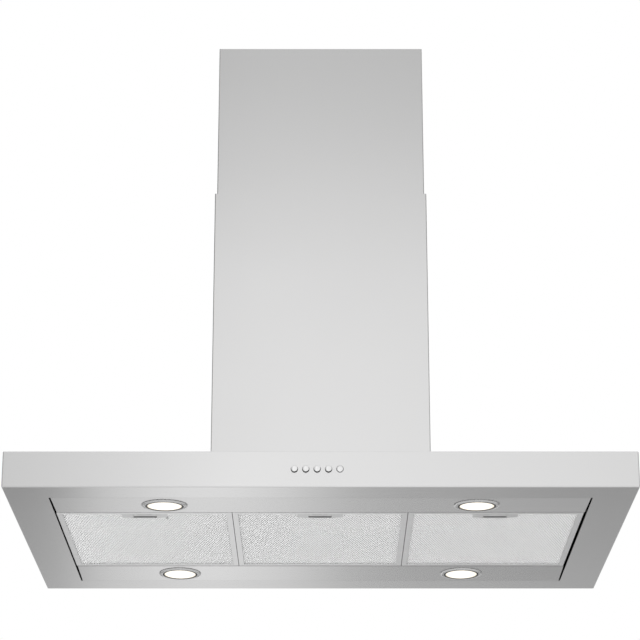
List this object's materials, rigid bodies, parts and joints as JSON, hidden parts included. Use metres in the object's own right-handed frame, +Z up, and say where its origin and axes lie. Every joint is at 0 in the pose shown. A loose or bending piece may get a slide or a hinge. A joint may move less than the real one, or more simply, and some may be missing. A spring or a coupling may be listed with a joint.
{
  "type": "chimney range hood",
  "caption": "Ceiling-hung box-shaped range hood: flat steel canopy with grease filters, lamps and push buttons under a telescopic square chimney with a blower inside.",
  "frame": {"origin": "middle of the ceiling plane that the hood hangs from, on the chimney's centre line", "axes": "+Z up, +Y from the front (the fascia with the buttons) to the rear, +X to the right seen from the front"},
  "size_m": [0.9, 0.604, 0.7598],
  "materials": {
    "brushed_steel": "brushed stainless, fine horizontal grain",
    "galvanised_steel": "galvanised, satin",
    "filter_aluminium": "satin",
    "chrome": "polished",
    "dark_plastic": "matt",
    "pale_plastic": "satin",
    "bulb_ceramic": "matt white",
    "lamp_glass": "frosted, lit warm white"
  },
  "bodies": {
    "ceiling_frame": {"ceiling_plate": "galvanised_steel", "upper_frame": "galvanised_steel", "upper_chimney_front": "brushed_steel", "upper_chimney_rear": "brushed_steel"},
    "hood_body": {"canopy_shell": "brushed_steel", "lamp_panel_front": "brushed_steel", "lamp_panel_rear": "brushed_steel", "lower_chimney_front": "brushed_steel", "lower_chimney_rear": "brushed_steel", "lower_frame": "galvanised_steel", "frame_bolt_right": "chrome", "frame_bolt_rear": "chrome", "frame_bolt_left": "chrome", "frame_bolt_front": "chrome", "blower_box": "galvanised_steel", "fan_scroll": "dark_plastic", "fan_motor": "galvanised_steel", "duct_collar": "dark_plastic", "flap_pin": "chrome", "terminal_box": "pale_plastic", "motor_capacitor": "pale_plastic", "lamp_transformer": "dark_plastic", "switch_block": "dark_plastic", "lamp_bezel_front_left": "chrome", "lamp_can_front_left": "chrome", "lamp_glass_front_left": "lamp_glass", "lamp_bulb_front_left": "bulb_ceramic", "lamp_bezel_front_right": "chrome", "lamp_can_front_right": "chrome", "lamp_glass_front_right": "lamp_glass", "lamp_bulb_front_right": "bulb_ceramic", "lamp_bezel_rear_left": "chrome", "lamp_can_rear_left": "chrome", "lamp_glass_rear_left": "lamp_glass", "lamp_bulb_rear_left": "bulb_ceramic", "lamp_bezel_rear_right": "chrome", "lamp_can_rear_right": "chrome", "lamp_glass_rear_right": "lamp_glass", "lamp_bulb_rear_right": "bulb_ceramic"},
    "fan_impeller": {"fan_impeller": "galvanised_steel"},
    "flap_front": {"flap_front": "pale_plastic"},
    "flap_rear": {"flap_rear": "pale_plastic"},
    "filter_left": {"filter_frame_left": "filter_aluminium", "filter_net_left": "filter_aluminium", "handle_tray_left": "filter_aluminium"},
    "latch_left": {"filter_latch_left": "filter_aluminium"},
    "filter_middle": {"filter_frame_middle": "filter_aluminium", "filter_net_middle": "filter_aluminium", "handle_tray_middle": "filter_aluminium"},
    "latch_middle": {"filter_latch_middle": "filter_aluminium"},
    "filter_right": {"filter_frame_right": "filter_aluminium", "filter_net_right": "filter_aluminium", "handle_tray_right": "filter_aluminium"},
    "latch_right": {"filter_latch_right": "filter_aluminium"},
    "button_fan_off": {"button_fan_off": "chrome"},
    "button_speed_1": {"button_speed_1": "chrome"},
    "button_speed_2": {"button_speed_2": "chrome"},
    "button_speed_3": {"button_speed_3": "chrome"},
    "button_light": {"button_light": "chrome"}
  },
  "joints": [
    {"name": "height_adjust", "type": "slide", "parent": "ceiling_frame", "child": "hood_body", "axis": [0, 0, 1], "range_m": [-0.15, 0.15]},
    {"name": "fan_spin", "type": "hinge", "parent": "hood_body", "child": "fan_impeller", "pos_m": [0, 0.04614, -0.581], "axis": [1, 0, 0], "continuous": true},
    {"name": "flap_front_swing", "type": "hinge", "parent": "hood_body", "child": "flap_front", "pos_m": [0, 0, -0.4524], "axis": [-1, 0, 0], "range_deg": [0, 75]},
    {"name": "flap_rear_swing", "type": "hinge", "parent": "hood_body", "child": "flap_rear", "pos_m": [0, 0, -0.4524], "axis": [1, 0, 0], "range_deg": [0, 75]},
    {"name": "filter_left_hinge", "type": "hinge", "parent": "hood_body", "child": "filter_left", "pos_m": [-0.2589, 0.157, -0.7555], "axis": [1, 0, 0], "range_deg": [0, 75]},
    {"name": "latch_left_slide", "type": "slide", "parent": "filter_left", "child": "latch_left", "axis": [0, 1, 0], "range_m": [0, 0.005], "stiffness_N_per_m": 200},
    {"name": "filter_middle_hinge", "type": "hinge", "parent": "hood_body", "child": "filter_middle", "pos_m": [-0.0009, 0.157, -0.7555], "axis": [1, 0, 0], "range_deg": [0, 75]},
    {"name": "latch_middle_slide", "type": "slide", "parent": "filter_middle", "child": "latch_middle", "axis": [0, 1, 0], "range_m": [0, 0.005], "stiffness_N_per_m": 200},
    {"name": "filter_right_hinge", "type": "hinge", "parent": "hood_body", "child": "filter_right", "pos_m": [0.2571, 0.157, -0.7555], "axis": [1, 0, 0], "range_deg": [0, 75]},
    {"name": "latch_right_slide", "type": "slide", "parent": "filter_right", "child": "latch_right", "axis": [0, 1, 0], "range_m": [0, 0.005], "stiffness_N_per_m": 200},
    {"name": "button_fan_off_press", "type": "slide", "parent": "hood_body", "child": "button_fan_off", "axis": [0, 1, 0], "range_m": [0, 0.003], "stiffness_N_per_m": 300},
    {"name": "button_speed_1_press", "type": "slide", "parent": "hood_body", "child": "button_speed_1", "axis": [0, 1, 0], "range_m": [0, 0.003], "stiffness_N_per_m": 300},
    {"name": "button_speed_2_press", "type": "slide", "parent": "hood_body", "child": "button_speed_2", "axis": [0, 1, 0], "range_m": [0, 0.003], "stiffness_N_per_m": 300},
    {"name": "button_speed_3_press", "type": "slide", "parent": "hood_body", "child": "button_speed_3", "axis": [0, 1, 0], "range_m": [0, 0.003], "stiffness_N_per_m": 300},
    {"name": "button_light_press", "type": "slide", "parent": "hood_body", "child": "button_light", "axis": [0, 1, 0], "range_m": [-0.0022, 0.0008]}
  ]
}
